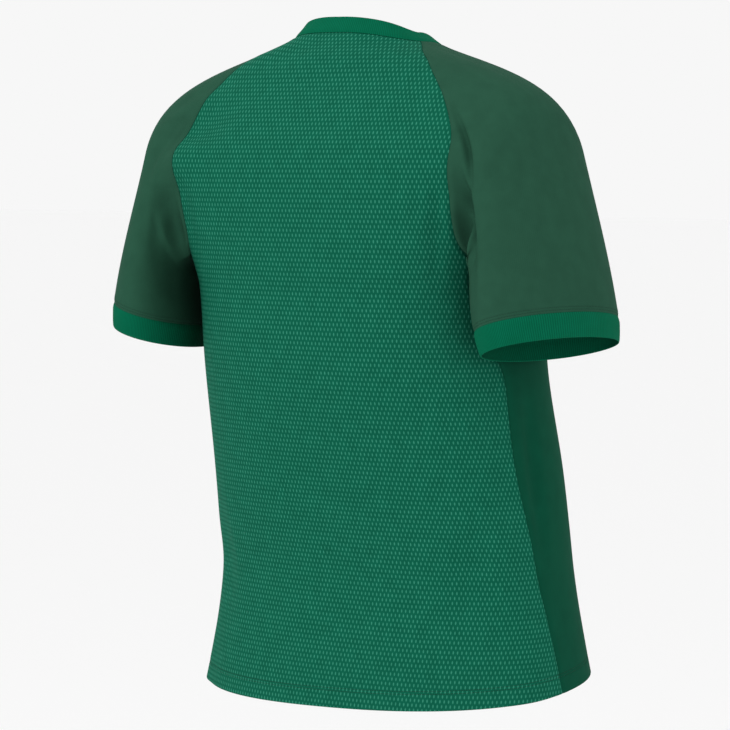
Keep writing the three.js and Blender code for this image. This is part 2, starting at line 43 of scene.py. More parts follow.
# Cloth and sewing sizes in millimetres
KNIT_THICK = 0.9
RIB_THICK = 1.4
HEM_FOLD = 20.0
HEM_EXTRA = 0.8
SEAM_DIP = 0.9
SEAM_DIP_REACH = 2.2
SEAM_SWELL = 0.25
SEAM_SWELL_PLACE = 6
SEAM_SWELL_REACH = 3
CUFF_SEAM_DIP = 0.5
MESH_PITCH = 4.6
MESH_ROWS = 10.3
DASH_HALF_WIDTH = 0.95
DASH_HALF_LENGTH = 2.1
COLUMN_PITCH = 1.4
RIB_PITCH = 2.3
RIB_HEIGHT = 0.2
RIB_POINTS = 5
RIB_FADE = 1.5
COLLAR_RIB_SHARE = 0.7
CUFF_RIBS = 196
COLLAR_RIBS = 232
STITCH_PITCH = 2.8
STITCH_LENGTH = 2.1
STITCH_WIDTH = 0.45
STITCH_STAND = 0.2
STITCH_SEED = 7
STITCH_DIP = 0.4
STITCH_DIP_REACH = 0.9
HEM_STITCH_ROWS = (17.0, 20.0)
CUFF_STITCH_ROWS = (2.6, 5.4)

# The jersey's own sizes
COLLAR_WIDTH = 17
CUFF_WIDTH = 25
HEM_HEIGHT = -691
HEM_MIDDLE_Y = -60
HEM_TILT = 0.09
HEM_LEAN = 0.03
ARMPIT_HEIGHT = -226
UNDERARM_DIP = 7
NECK_HALF_WIDTH = 84
NECK_MIDDLE_Y = 6
NECK_BACK_REACH = 56
NECK_FRONT_REACH = 92
NECK_FRONT_POWER = 2.5
COLLAR_BACK_CORNER = 14
COLLAR_FRONT_CORNER = -36
COLLAR_LIFT_AT_SIDES = 0.05
COLLAR_LIFT_IN_MIDDLE = 0.3
COLLAR_CURL = 1.5

# Searches and sampled lines: halvings of a search, small steps for a slope, points on a line
HALVINGS = 40
ANGLE_STEP = 0.01
NECK_LOWEST, NECK_HIGHEST = -150.0, 30.0
SEAM_SAMPLES = 400
RING_SAMPLES = 49
PROFILE_LOW, PROFILE_HIGH, PROFILE_SAMPLES = -760, 60, 821

# Level rings of the body: height, half width, Y of the widest line, depth behind, depth before,
# power behind, power before
BODY_RINGS = {
    "z": (-730, -685, -612, -567, -520, -453, -345, -262, -240,
          -205, -160, -115, -90, -60, -42, -31, -15, 0, 12),
    "half": (232, 223, 213, 208, 208, 204, 198, 197, 200,
             212, 232, 250, 253, 243, 214, 185, 131, 86, 70),
    "mid_y": (-58, -54, -48, -45, -38, -28, -10, -6, -5,
              -3, 0, 5, 8, 11, 12, 11, 10, 5, 2),
    "back": (149, 137, 119, 114, 115, 121, 129, 131, 133,
             134, 134, 125, 112, 94, 84, 81, 74, 66, 59),
    "front": (178, 172, 161, 156, 151, 146, 137, 133, 131,
              128, 119, 107, 100, 92, 86, 82, 72, 55, 46),
    "back_power": (2.3, 2.3, 2.3, 2.3, 2.3, 2.3, 2.35, 2.5, 2.6,
                   2.7, 2.7, 2.6, 2.4, 2.2, 2.1, 2.1, 2.1, 2.1, 2.1),
    "front_power": (2.2, 2.2, 2.2, 2.2, 2.2, 2.3, 2.3, 2.4, 2.4,
                    2.4, 2.4, 2.3, 2.2, 2.1, 2.0, 2.0, 2.0, 2.0, 2.0),
}
BACK_RAGLAN = {"z": (-226, -214, -198, -155, -115, -90, -60, -42, -22, -8),
               "out": (183, 177, 174, 175, 177, 170, 155, 140, 120, 98)}
FRONT_RAGLAN = {"z": (-226, -214, -186, -150, -110, -75, -45),
                "out": (184, 178, 171, 163, 149, 126, 100)}
SIDE_SEAMS = {"z": (-720, -640, -560, -450, -345, -262),
              "behind": (4, 7, 13, 18.5, 17, 22),
              "before": (34, 35, 36, 37, 38, 38)}
ARM_RING = {"centre": (223, 26, -168), "outer": (20, 0, 88), "back": (-9, 89, 0)}
CUFF_RING = {"centre": (247, 32, -292), "outer": (45, 0, 15), "back": (-13.5, 98, 4)}
ARM_DOWN = (0.1, 0, -1)
CUFF_DOWN = (0.17, 0, -1)
CUFF_TAPER = 0.96
ARM_TURN = 0.2
ARM_ARRIVAL = 0.8
UNDERARM_SHARE = 0.14
ARMHOLE_FLOW = {"along": (0, 0.1, 0.22, 0.4, 0.6, 1),
                "share": (0, 0, 0.1, 0.4, 0.9, 1),
                "out": (0.12, 0.45, 0.75, 0.85, 0.9, 0.9),
                "back": (0, -0.25, -0.25, 0, 0.1, 0),
                "up": (-1, -0.85, -0.6, -0.4, -0.4, -0.4),
                "reach": (0.8, 0.9, 1, 0.9, 0.8, 0.7)}

# Folds of the body: top height and ring angle, bottom height and ring angle, half width, stand
BODY_FOLDS = (
    (-335, 176, -575, 171, 17, -5),
    (-355, 5, -600, 10, 16, -4),
    (-470, 144, -650, 129, 27, -4),
    (-455, 34, -670, 47, 30, -3),
    (-115, 128, -270, 136, 15, -2.5),
    (-120, 52, -255, 45, 16, -2),
    (-185, 221, -360, 239, 20, -3),
    (-190, 319, -330, 304, 22, -3),
    (-420, 291, -660, 284, 26, -3),
    (-450, 249, -650, 258, 24, -3.5),
    (-600, 27, -860, 25, 40, 5),
    (-590, 155, -860, 157, 36, 4),
    (-92, 52, -165, 42, 60, 8),
    (-50, 60, -124, 52, 60, -7),
    (35, 50, -45, 48, 50, 4),
)
# Folds of the sleeves: turn from the underarm by the back, drift, start, end, half width in
# degrees, stand on the left sleeve and on the right
SLEEVE_FOLDS = (
    (84, -24, 0.02, 0.75, 15, -2, -16),
    (118, -34, 0.02, 0.42, 12, 1.5, -6),
    (58, 0, 0.0, 0.42, 26, -9, -14),
    (48, 0, 0.06, 1.1, 28, 0, 13),
    (284, 22, 0.08, 0.8, 16, -4.5, -3.5),
    (328, -6, 0.1, 0.85, 13, -2, -3.5),
)


# Forms

def through(table, key, column):
    """A smooth curve through one column of a table, for arrays too."""
    knots = np.array(table[key], float)
    values = np.array(table[column], float)
    low = np.maximum(np.arange(len(knots)) - 1, 0)
    high = np.minimum(np.arange(len(knots)) + 1, len(knots) - 1)
    slopes = (values[high] - values[low]) / (knots[high] - knots[low])

    def at(place):
        place = np.asarray(place, float)
        i = np.clip(np.searchsorted(knots, place, side="right") - 1, 0, len(knots) - 2)
        span = knots[i + 1] - knots[i]
        t = np.clip((place - knots[i]) / span, 0, 1)
        rise = t * t * (3 - 2 * t)
        inside = (values[i] * (1 - rise) + values[i + 1] * rise
                  + slopes[i] * t * (1 - t) ** 2 * span + slopes[i + 1] * t * t * (t - 1) * span)
        below = np.minimum(place - knots[0], 0) * slopes[0]
        above = np.maximum(place - knots[-1], 0) * slopes[-1]
        return inside + below + above

    return at


ring = {column: through(BODY_RINGS, "z", column) for column in BODY_RINGS}
side_behind = through(SIDE_SEAMS, "z", "behind")
side_before = through(SIDE_SEAMS, "z", "before")
flow = {column: through(ARMHOLE_FLOW, "along", column) for column in ARMHOLE_FLOW}


def mix(a, b, t):
    return a + (b - a) * t


def smoothstep(value, low, high):
    t = np.clip((value - low) / (high - low), 0, 1)
    return t * t * (3 - 2 * t)


def bump(t):
    """1 in the middle of a fold and 0 at its edges."""
    return np.where(np.abs(t) < 1, 0.5 + 0.5 * np.cos(np.pi * np.clip(t, -1, 1)), 0)


def unit(vectors):
    return vectors / np.maximum(np.linalg.norm(vectors, axis=-1, keepdims=True), 1e-9)


def smooth_point(angle, z):
    angle, z = np.broadcast_arrays(np.asarray(angle, float), np.asarray(z, float))
    c, s = np.cos(angle), np.sin(angle)
    behind = 0.5 + 0.5 * np.clip(2 * s, -1, 1)
    power = mix(ring["front_power"](z), ring["back_power"](z), behind)
    depth = np.where(s > 0, ring["back"](z), ring["front"](z))
    scale = (np.abs(c) ** power + np.abs(s) ** power) ** (-1 / power)
    return np.stack([ring["half"](z) * scale * c, ring["mid_y"](z) + depth * scale * s, z], axis=-1)


def body_fold(angle, z):
    out = np.zeros(np.broadcast(angle, z).shape)
    for top, top_angle, bottom, bottom_angle, half, stand in BODY_FOLDS:
        t = (z - bottom) / (top - bottom)
        middle = np.radians(mix(bottom_angle, top_angle, t))
        turn = np.arctan2(np.sin(angle - middle), np.cos(angle - middle))
        arc = np.hypot(ring["half"](z) * np.sin(angle), ring["back"](z) * np.cos(angle))
        out = out + stand * bump(turn * arc / half) * bump(2 * t - 1)
    return out


def smooth_normal(angle, z):
    across = smooth_point(angle + ANGLE_STEP, z) - smooth_point(angle - ANGLE_STEP, z)
    upwards = smooth_point(angle, z + 1) - smooth_point(angle, z - 1)
    return unit(np.cross(across, upwards))


def body_point(angle, z):
    return smooth_point(angle, z) + smooth_normal(angle, z) * body_fold(angle, z)[..., None]


def body_normal(angle, z):
    across = body_point(angle + ANGLE_STEP, z) - body_point(angle - ANGLE_STEP, z)
    upwards = body_point(angle, z + 1) - body_point(angle, z - 1)
    return unit(np.cross(across, upwards))


def angle_at_out(out, z, side):
    """Ring angle at which the body is this far out, behind (1) or before (-1)."""
    wide = np.zeros(np.shape(z))
    narrow = np.full(np.shape(z), side * np.pi / 2)
    for _ in range(HALVINGS):
        middle = (wide + narrow) / 2
        inside = body_point(middle, z)[..., 0] > out
        wide, narrow = np.where(inside, middle, wide), np.where(inside, narrow, middle)
    return (wide + narrow) / 2


def hem_height(angle):
    place = body_point(angle, np.full(np.shape(angle), float(HEM_HEIGHT)))
    return HEM_HEIGHT - HEM_TILT * (place[..., 1] - HEM_MIDDLE_Y) - HEM_LEAN * place[..., 0]


def neck_point(turn):
    """Ring angle and height of the collar seam at a turn round the neck."""
    turn = np.asarray(turn, float)
    c, s = np.cos(turn), np.sin(turn)
    power = np.where(s > 0, 2.0, NECK_FRONT_POWER)
    scale = (np.abs(c) ** power + np.abs(s) ** power) ** (-1 / power)
    x = NECK_HALF_WIDTH * scale * c
    y = NECK_MIDDLE_Y + np.where(s > 0, NECK_BACK_REACH, NECK_FRONT_REACH) * scale * s
    low, high = np.full(turn.shape, NECK_LOWEST), np.full(turn.shape, NECK_HIGHEST)
    for _ in range(HALVINGS):
        z = (low + high) / 2
        depth = np.where(y > ring["mid_y"](z), ring["back"](z), ring["front"](z))
        angle = np.arctan2((y - ring["mid_y"](z)) / depth, x / ring["half"](z))
        reach = smooth_point(angle, z)
        body_reach = np.hypot(reach[..., 0], reach[..., 1] - ring["mid_y"](z))
        wider = body_reach > np.hypot(x, y - ring["mid_y"](z))
        low, high = np.where(wider, z, low), np.where(wider, high, z)
    winding = np.round((turn - angle) / (2 * np.pi)) * 2 * np.pi
    return angle + winding, (low + high) / 2


def on_side(side, angle):
    """A ring angle of the wearer's left side, or the same place on the right."""
    return angle if side == "left" else np.pi - angle


def seam_line(side, facing, below, above):
    """Ring angles and heights of one side's seam, hem to armpit (shares below) to collar (shares
    above); facing is 1 for the back seam and -1 for the front one."""
    corner = COLLAR_BACK_CORNER if facing > 0 else COLLAR_FRONT_CORNER
    corner_angle, corner_z = neck_point(math.radians(corner))
    table = BACK_RAGLAN if facing > 0 else FRONT_RAGLAN
    corner_out = float(body_point(corner_angle, corner_z)[0])
    out = through({"z": (*table["z"], float(corner_z)), "out": (*table["out"], corner_out)}, "z", "out")

    def side_angle(z):
        return facing * np.radians(side_behind(z) if facing > 0 else side_before(z))

    bottom = hem_height(on_side(side, side_angle(HEM_HEIGHT)))
    armpit = angle_at_out(out(ARMPIT_HEIGHT), np.array(float(ARMPIT_HEIGHT)), facing)
    below = np.asarray(below)
    low_angle = mix(side_angle(mix(HEM_HEIGHT, ARMPIT_HEIGHT, below)), armpit, smoothstep(below, 0.7, 1))
    low_z = mix(bottom, ARMPIT_HEIGHT, below)
    fine_z = np.linspace(ARMPIT_HEIGHT, float(corner_z), SEAM_SAMPLES)
    places = body_point(angle_at_out(out(fine_z), fine_z, facing), fine_z)
    lengths = np.concatenate([[0], np.cumsum(np.linalg.norm(np.diff(places, axis=0), axis=1))])
    high_z = np.interp(np.asarray(above) * lengths[-1], lengths, fine_z)
    angles = np.concatenate([low_angle, angle_at_out(out(high_z), high_z, facing)])
    return on_side(side, angles), np.concatenate([low_z, high_z])


def closing(length, step, tight=(0.0, 0.8, 1.7, 3.0)):
    """Shares along a length in even steps, with a few tight ones at both ends for the seams."""
    first = np.array(tight) / length
    count = max(2, round((length - 2 * tight[-1]) / step))
    middle = np.linspace(first[-1], 1 - first[-1], count + 1)[1:-1]
    return np.concatenate([first, middle, 1 - first[::-1]])


# Lengths of the seams below and above the armpit, and shares along them: close together at the
# hem, its stitches and both ends
SEAM_BELOW, SEAM_ABOVE = 463.0, 330.0
BELOW = np.concatenate([[0, 0.8, 1.7, 3.0, 7.5, 12.0, 14.5], np.arange(16.0, 23.0, 0.9),
                        np.linspace(25.0, SEAM_BELOW - 3.0, 96), [SEAM_BELOW - 1.7]]) / SEAM_BELOW
ABOVE = np.concatenate([[0.0], closing(SEAM_ABOVE, 4.6)[1:]])
back_seam = {side: seam_line(side, 1, BELOW, ABOVE) for side in ("left", "right")}
front_seam = {side: seam_line(side, -1, BELOW, ABOVE) for side in ("left", "right")}


def body_grid(first, second, shares, top_line, centre):
    """Points between two seam lines, closed by the hem below and the top line above."""
    u = shares[None, :]
    top_angle, top_z = top_line(shares)
    angle_1, z_1 = (a[:, None] for a in first)
    angle_2, z_2 = (a[:, None] for a in second)
    across_angle, across_z = mix(angle_1, angle_2, u), mix(z_1, z_2, u)
    up = (z_1 - z_1[0]) / (z_1[-1] - z_1[0])
    low_shift = hem_height(across_angle[0]) - across_z[0]
    high_shift = top_z - across_z[-1]
    z = across_z + mix(low_shift[None, :], high_shift[None, :], up)
    angle = across_angle + up * (top_angle - across_angle[-1])[None, :]
    return {"place": body_point(angle, z), "normal": body_normal(angle, z),
            "cut": cut_place(angle, z, centre)}


def cut_place(angle, z, centre):
    """Place on the flat cut: round the ring from the centre line, and up the centre line."""
    steps = np.linspace(0, 1, RING_SAMPLES)[:, None, None]
    walk = smooth_point(centre + (angle - centre)[None] * steps, z[None])
    round_ring = np.linalg.norm(np.diff(walk, axis=0), axis=-1).sum(0) * np.sign(angle - centre)
    heights = np.linspace(PROFILE_LOW, PROFILE_HIGH, PROFILE_SAMPLES)
    profile = smooth_point(np.full(PROFILE_SAMPLES, centre), heights)
    climb = np.concatenate([[0], np.cumsum(np.linalg.norm(np.diff(profile, axis=0), axis=1))])
    return np.stack([round_ring, np.interp(z, heights, climb)], axis=-1)


def edge_distances(place, closed):
    """Distance of each grid point from the first and last column and row."""
    along = np.linalg.norm(np.diff(place, axis=1), axis=-1)
    along = np.concatenate([np.zeros((len(place), 1)), np.cumsum(along, axis=1)], axis=1)
    up = np.linalg.norm(np.diff(place, axis=0), axis=-1)
    up = np.concatenate([np.zeros((1, place.shape[1])), np.cumsum(up, axis=0)], axis=0)
    far = np.full(along.shape, 1e3)
    sides = (far, far) if closed else (along, along[:, -1:] - along)
    return (*sides, up, up[-1:] - up)


def sewn(grid, sewn_edges, closed=False, stitched=("bottom", ()), dip=SEAM_DIP):
    """The cloth dips into each seam, swells softly beside it and is drawn in under its stitches."""
    distances = dict(zip(("left", "right", "bottom", "top"), edge_distances(grid["place"], closed)))
    near = np.min([distances[edge] for edge in sewn_edges], axis=0)
    swell = SEAM_SWELL * np.exp(-(((near - SEAM_SWELL_PLACE) / SEAM_SWELL_REACH) ** 2))
    lift = swell - dip * np.exp(-((near / SEAM_DIP_REACH) ** 2))
    edge, rows = stitched
    for row in rows:
        lift = lift - STITCH_DIP * np.exp(-(((distances[edge] - row) / STITCH_DIP_REACH) ** 2))
    grid["place"] = grid["place"] + grid["normal"] * lift[..., None]
    grid["from_edges"] = distances
    return grid


MIRROR = np.array([-1.0, 1.0, 1.0])


def mirrored(grid):
    """The wearer's right: mirrored, with its columns turned round to face outwards."""
    return {"place": grid["place"][:, ::-1] * MIRROR, "normal": grid["normal"][:, ::-1] * MIRROR,
            "cut": grid["cut"][:, ::-1] * MIRROR[:2],
            "from_edges": {edge: away[:, ::-1] for edge, away in grid["from_edges"].items()}}


def shell(name, grid, thick, closed=False, round_first=False, round_last=False):
    """A closed thin wall of cloth on a grid, with rounded free edges where asked."""
    place, normal, cut = grid["place"], grid["normal"], grid["cut"]
    thick = np.broadcast_to(np.asarray(thick, float), place.shape[:2])[..., None]
    inner = place - normal * thick

    def rolled(row, beyond):
        """Three rows that carry a free edge round from the outside to the inside."""
        away = unit(place[row] - place[beyond])
        across, half = inner[row] - place[row], thick[row] / 2
        return [place[row] + across * share + away * half * lift
                for share, lift in ((0.15, 0.7), (0.5, 1.0), (0.85, 0.7))]

    top_roll = rolled(-1, -2) if round_last else []
    bottom_roll = rolled(0, 1) if round_first else []
    rows = [*place, *top_roll, *inner[::-1], *bottom_roll[::-1]]
    cuts = [*cut, *[cut[-1]] * len(top_roll), *cut[::-1], *[cut[0]] * len(bottom_roll)]
    if closed:
        cuts = [np.concatenate([row, [row[-1] * 2 - row[-2]]]) for row in cuts]
    count_rows, columns = len(rows), len(rows[0])
    points = np.concatenate(rows) * METRES
    steps = columns if closed else columns - 1
    j, i = np.meshgrid(np.arange(count_rows), np.arange(steps), indexing="ij")
    j, i = j.ravel(), i.ravel()
    next_j, next_i = (j + 1) % count_rows, (i + 1) % columns
    faces = np.stack([j * columns + i, j * columns + next_i, next_j * columns + next_i,
                      next_j * columns + i], axis=-1)
    cuts = np.array(cuts)
    right = i + 1 if closed else next_i
    uv = np.stack([cuts[j, i], cuts[j, right], cuts[next_j, right], cuts[next_j, i]], axis=1)
    faces, uv = list(faces), list(uv)
    if not closed:
        outer = len(place)
        for column, order in ((0, 1), (columns - 1, -1)):
            for k in range(outer - 1):
                low, high = k, k + 1
                low_in = outer + len(top_roll) + (outer - 1 - k)
                high_in = low_in - 1
                loop = [low, high, high_in, low_in][::order]
                faces.append(np.array([r * columns + column for r in loop]))
                uv.append(cuts[loop, column])
            rolls = ((outer - 1, len(top_roll)), (count_rows - len(bottom_roll) - 1, len(bottom_roll)))
            for start, roll in rolls:
                if roll:
                    loop = [(start + k) % count_rows for k in range(roll + 2)][::order]
                    faces.append(np.array([r * columns + column for r in loop]))
                    uv.append(cuts[loop, column])
    cloth = bpy.data.meshes.new(name)
    cloth.from_pydata(points.tolist(), [], [face.tolist() for face in faces])
    layer = cloth.uv_layers.new(name="cut")
    layer.data.foreach_set("uv", np.concatenate([np.ravel(f) for f in uv]) * METRES)
    cloth.shade_smooth()
    piece = bpy.data.objects.new(name, cloth)
    bpy.context.scene.collection.objects.link(piece)
    return piece


# Panels of the body
def neck_between(start, end):
    return lambda u: neck_point(np.radians(mix(start, end, u)))


def wrapped(line):
    return line[0] + 2 * np.pi, line[1]


PANEL_WIDTH, SIDE_WIDTH, COLLAR_REACH = 420.0, 96, 80.0
PANEL_SHARES = closing(PANEL_WIDTH, 4.2)
SIDE_SHARES = closing(SIDE_WIDTH, 4.4)
below_count = len(BELOW)
back_corner, front_corner = back_seam["left"][0][below_count], front_seam["left"][0][below_count]


def underarm(side, u):
    """The underarm's edge from the front seam to the back seam."""
    height = ARMPIT_HEIGHT - UNDERARM_DIP * 4 * u * (1 - u)
    return on_side(side, mix(front_corner, back_corner, u)), height


def side_line(line):
    return line[0][:below_count + 1], line[1][:below_count + 1]


def panel_grid(first, second, shares, top_line, centre):
    return sewn(body_grid(first, second, shares, top_line, centre), ("left", "right", "top"),
                stitched=("bottom", HEM_STITCH_ROWS))


back_grid = panel_grid(back_seam["left"], back_seam["right"], PANEL_SHARES,
                       neck_between(COLLAR_BACK_CORNER, 180 - COLLAR_BACK_CORNER), np.pi / 2)
front_grid = panel_grid(front_seam["right"], wrapped(front_seam["left"]), PANEL_SHARES,
                        neck_between(180 - COLLAR_FRONT_CORNER, 360 + COLLAR_FRONT_CORNER), 3 * np.pi / 2)
left_side = panel_grid(side_line(front_seam["left"]), side_line(back_seam["left"]), SIDE_SHARES,
                       lambda u: underarm("left", u), 0.0)
right_side = panel_grid(side_line(back_seam["right"]), side_line(front_seam["right"]), SIDE_SHARES,
                        lambda u: underarm("right", 1 - u), np.pi)


# Sleeves, both worked out on the wearer's left; the right one is mirrored back at the end
def armhole_loop(side):
    """Places, normals and shares round an armhole, from the underarm's middle by the back."""
    half = np.concatenate([np.linspace(0, 0.5 - 3.0 / SIDE_WIDTH, 12),
                           [0.5 - 1.7 / SIDE_WIDTH, 0.5 - 0.8 / SIDE_WIDTH]])
    turn = np.radians(mix(COLLAR_BACK_CORNER, COLLAR_FRONT_CORNER, closing(COLLAR_REACH, 4.6)[1:-1]))
    rise = [part[below_count:] for part in back_seam[side]]
    fall = [part[below_count:][::-1] for part in front_seam[side]]
    parts = [underarm(side, 0.5 + half), rise, neck_point(on_side(side, turn)), fall,
             underarm(side, 0.5 - half[:0:-1])]
    angle, z = (np.concatenate([part[k] for part in parts]) for k in (0, 1))
    flip = MIRROR if side == "right" else 1.0
    place, square = body_point(angle, z) * flip, body_normal(angle, z) * flip
    steps = np.linalg.norm(np.diff(np.vstack([place, place[:1]]), axis=0), axis=1)
    share = np.concatenate([[0], np.cumsum(steps)[:-1]]) / steps.sum()
    return {"place": place, "square": square, "share": share}


def round_loop(loop, key, share):
    """Values round the armhole at other shares of its length."""
    values = np.vstack([loop[key], loop[key][:1]])
    return np.stack([np.interp(share, np.append(loop["share"], 1), column) for column in values.T], axis=-1)


def ellipse_point(size, turn):
    centre, outer, back = (np.array(size[key], float) for key in ("centre", "outer", "back"))
    return centre - outer * np.cos(turn)[..., None] + back * np.sin(turn)[..., None]


def hermite(start, leave, end, arrive, t):
    rise = t * t * (3 - 2 * t)
    return start * (1 - rise) + end * rise + leave * (t * (1 - t) ** 2) + arrive * (t * t * (t - 1))


def sleeve_places(loop, share, down):
    """The sleeve's surface: shares round it, and 0 armhole to 1 upper arm to 2 cuff seam."""
    start, square = round_loop(loop, "place", share), round_loop(loop, "square", share)
    turn = share * 2 * np.pi
    along = 1 - np.abs(1 - 2 * share)
    behind = np.where(share < 0.5, 1, -1)
    free = unit(np.stack([flow["out"](along), behind * flow["back"](along), flow["up"](along)], axis=-1))
    slope = unit(free - square * np.sum(free * square, axis=-1, keepdims=True))
    leave = unit(mix(free, slope, flow["share"](along)[:, None]))
    arm, cuff = ellipse_point(ARM_RING, turn), ellipse_point(CUFF_RING, turn)
    passing = unit(mix(unit(np.array(ARM_DOWN)), unit(arm - start), ARM_TURN))
    span = np.linalg.norm(arm - start, axis=-1, keepdims=True)
    fall = np.linalg.norm(cuff - arm, axis=-1, keepdims=True)
    rows = []
    for t in down:
        if t <= 1:
            rows.append(hermite(start, leave * flow["reach"](along)[:, None] * span,
                                arm, passing * ARM_ARRIVAL * span, t))
        else:
            rows.append(hermite(arm, passing * fall, cuff, unit(np.array(CUFF_DOWN)) * fall, t - 1))
    return np.array(rows)


def tube_normals(place):
    across = np.roll(place, -1, axis=1) - np.roll(place, 1, axis=1)
    down = np.gradient(place, axis=0)
    return unit(np.cross(across, down))


# Parts of a sleeve's length from armhole to upper arm and on to the cuff, for its folds
SLEEVE_ROWS_TO_ARM, SLEEVE_ROWS_TO_CUFF = 6, 5


def folded_sleeve(loop, share, down, side):
    """Sleeve points with their folds, which differ on the two sleeves."""
    place = sleeve_places(loop, share, down)
    normal = tube_normals(place)
    rows = SLEEVE_ROWS_TO_ARM + SLEEVE_ROWS_TO_CUFF
    steps = np.where(down <= 1, down * SLEEVE_ROWS_TO_ARM,
                     SLEEVE_ROWS_TO_ARM + (down - 1) * SLEEVE_ROWS_TO_CUFF)
    out = np.zeros(place.shape[:2])
    for turn, drift, start, end, half, *stands in SLEEVE_FOLDS:
        t = ((steps / rows - start) / (end - start))[:, None]
        away = share[None, :] * 360 - turn - drift * t
        out += stands[side == "right"] * bump(away / half) * bump(2 * t - 1)
    return place + normal * out[..., None]


def tube_cut(place):
    """Flat cut of a tube: round it from its first column, and down its rows."""
    around = np.linalg.norm(np.diff(place, axis=1), axis=-1)
    around = np.concatenate([np.zeros((len(place), 1)), np.cumsum(around, axis=1)], axis=1)
    around = np.broadcast_to(around.mean(axis=0), around.shape)
    down = np.linalg.norm(np.diff(place, axis=0), axis=-1).mean(axis=1)
    down = np.concatenate([[0], np.cumsum(down)])
    return np.stack([around, np.broadcast_to(-down[:, None], around.shape)], axis=-1)


# Rows down a sleeve, close together at the armhole and at the cuff's stitches
ARM_TO_CUFF = 121.0
DOWN = np.concatenate([[0, 0.006, 0.014, 0.025], np.linspace(0.05, 1, 26),
                       1 + np.linspace(0.035, 1 - 8.5 / ARM_TO_CUFF, 26),
                       2 - np.arange(7.8, -0.1, -0.6) / ARM_TO_CUFF])


def sleeve_grid(side):
    loop = armhole_loop(side)
    place = folded_sleeve(loop, loop["share"], DOWN, side)
    grid = {"place": place, "normal": tube_normals(place), "cut": tube_cut(place)}
    fitted = smoothstep(1 - np.abs(1 - 2 * loop["share"]), UNDERARM_SHARE, 2 * UNDERARM_SHARE)[:, None]
    grid["normal"][0] = unit(mix(grid["normal"][0], loop["square"], fitted))
    return sewn(grid, ("bottom", "top"), closed=True, stitched=("top", CUFF_STITCH_ROWS),
                dip=CUFF_SEAM_DIP)


def cuff_grid(side):
    """The cuff, with its ribs, on from the sleeve's last ring."""
    share = np.arange(CUFF_RIBS * RIB_POINTS) / (CUFF_RIBS * RIB_POINTS)
    seam = folded_sleeve(armhole_loop(side), share, np.array([1.97, 2.0]), side)
    centre = np.array(CUFF_RING["centre"], float)
    t = closing(CUFF_WIDTH, 2.6)[:, None, None]
    tapered = (seam[1] - centre) * mix(1, CUFF_TAPER, t * t) + centre
    place = tapered + unit(np.array(CUFF_DOWN)) * CUFF_WIDTH * t
    return ribbed(place, RIB_HEIGHT)


def ribbed(place, height):
    """A grid whose cloth stands in ribs that fade out at its seam and its free edge."""
    normal = tube_normals(place)
    cut = tube_cut(place)
    ribs = np.arange(place.shape[1]) / RIB_POINTS
    cut[..., 0] = ribs * RIB_PITCH
    grid = sewn({"place": place, "normal": normal, "cut": cut}, ("bottom",), closed=True,
                dip=CUFF_SEAM_DIP)
    wave = 0.5 + 0.5 * np.cos(ribs * 2 * np.pi)[None, :]
    from_seam, from_end = grid["from_edges"]["bottom"], grid["from_edges"]["top"]
    fade = smoothstep(from_seam, 0.0, RIB_FADE) * smoothstep(from_end, 0.0, RIB_FADE)
    grid["place"] = grid["place"] + normal * (height * fade * wave)[..., None]
    return grid


def collar_grid():
    """The collar: the neck seam all round, and a band that leans in from it."""
    count = COLLAR_RIBS * RIB_POINTS
    turn = np.radians(COLLAR_BACK_CORNER) + np.arange(count) / count * 2 * np.pi
    angle, z = neck_point(turn)
    seam = body_point(angle, z)
    along = unit(np.roll(seam, -1, axis=0) - np.roll(seam, 1, axis=0))
    slope = unit(np.cross(body_normal(angle, z), along))
    slope[:, 2] += mix(COLLAR_LIFT_AT_SIDES, COLLAR_LIFT_IN_MIDDLE, np.abs(np.sin(angle)))
    inwards = unit(slope)
    t = closing(COLLAR_WIDTH, 2.4)[:, None, None]
    place = seam + inwards * COLLAR_WIDTH * t + np.array([0, 0, COLLAR_CURL]) * t * t
    return ribbed(place, RIB_HEIGHT * COLLAR_RIB_SHARE)


# Colours and materials
def colour(code):
    """An sRGB hex value as linear red, green, blue and alpha."""
    parts = [int(code[k:k + 2], 16) / 255 for k in (0, 2, 4)]
    return (*[c / 12.92 if c <= 0.04045 else ((c + 0.055) / 1.055) ** 2.4 for c in parts], 1.0)


def add(tree, kind, inputs=(), **settings):
    """Adds a node with its settings, and its inputs as values or links."""
    made = tree.nodes.new(kind)
    for key, value in settings.items():
        setattr(made, key, value)
    for key, value in dict(inputs).items():
        if isinstance(value, bpy.types.NodeSocket):
            tree.links.new(value, made.inputs[key])
        else:
            made.inputs[key].default_value = value
    return made


def cloth_material(name, roughness):
    """A matte polyester knit with hardly any gloss."""
    material = bpy.data.materials.new(name)
    material.use_nodes = True
    tree = material.node_tree
    shader = tree.nodes["Principled BSDF"]
    shader.inputs["Roughness"].default_value = roughness
    shader.inputs["IOR"].default_value = 1.45
    shader.inputs["Specular IOR Level"].default_value = 0.04
    return material, tree, shader


# Painted shade: the cloth's colour is darkened where it is enclosed, in folds and between parts, where shade
# falls: how far to look in metres, the openness where the painted shade is darkest and where it is
# untouched, and the share of the colour left where darkest
PAINTED_SHADE_REACH = 0.12
ENCLOSED, OPEN = 0.2, 0.88
DARKEST_SHARE = 0.35


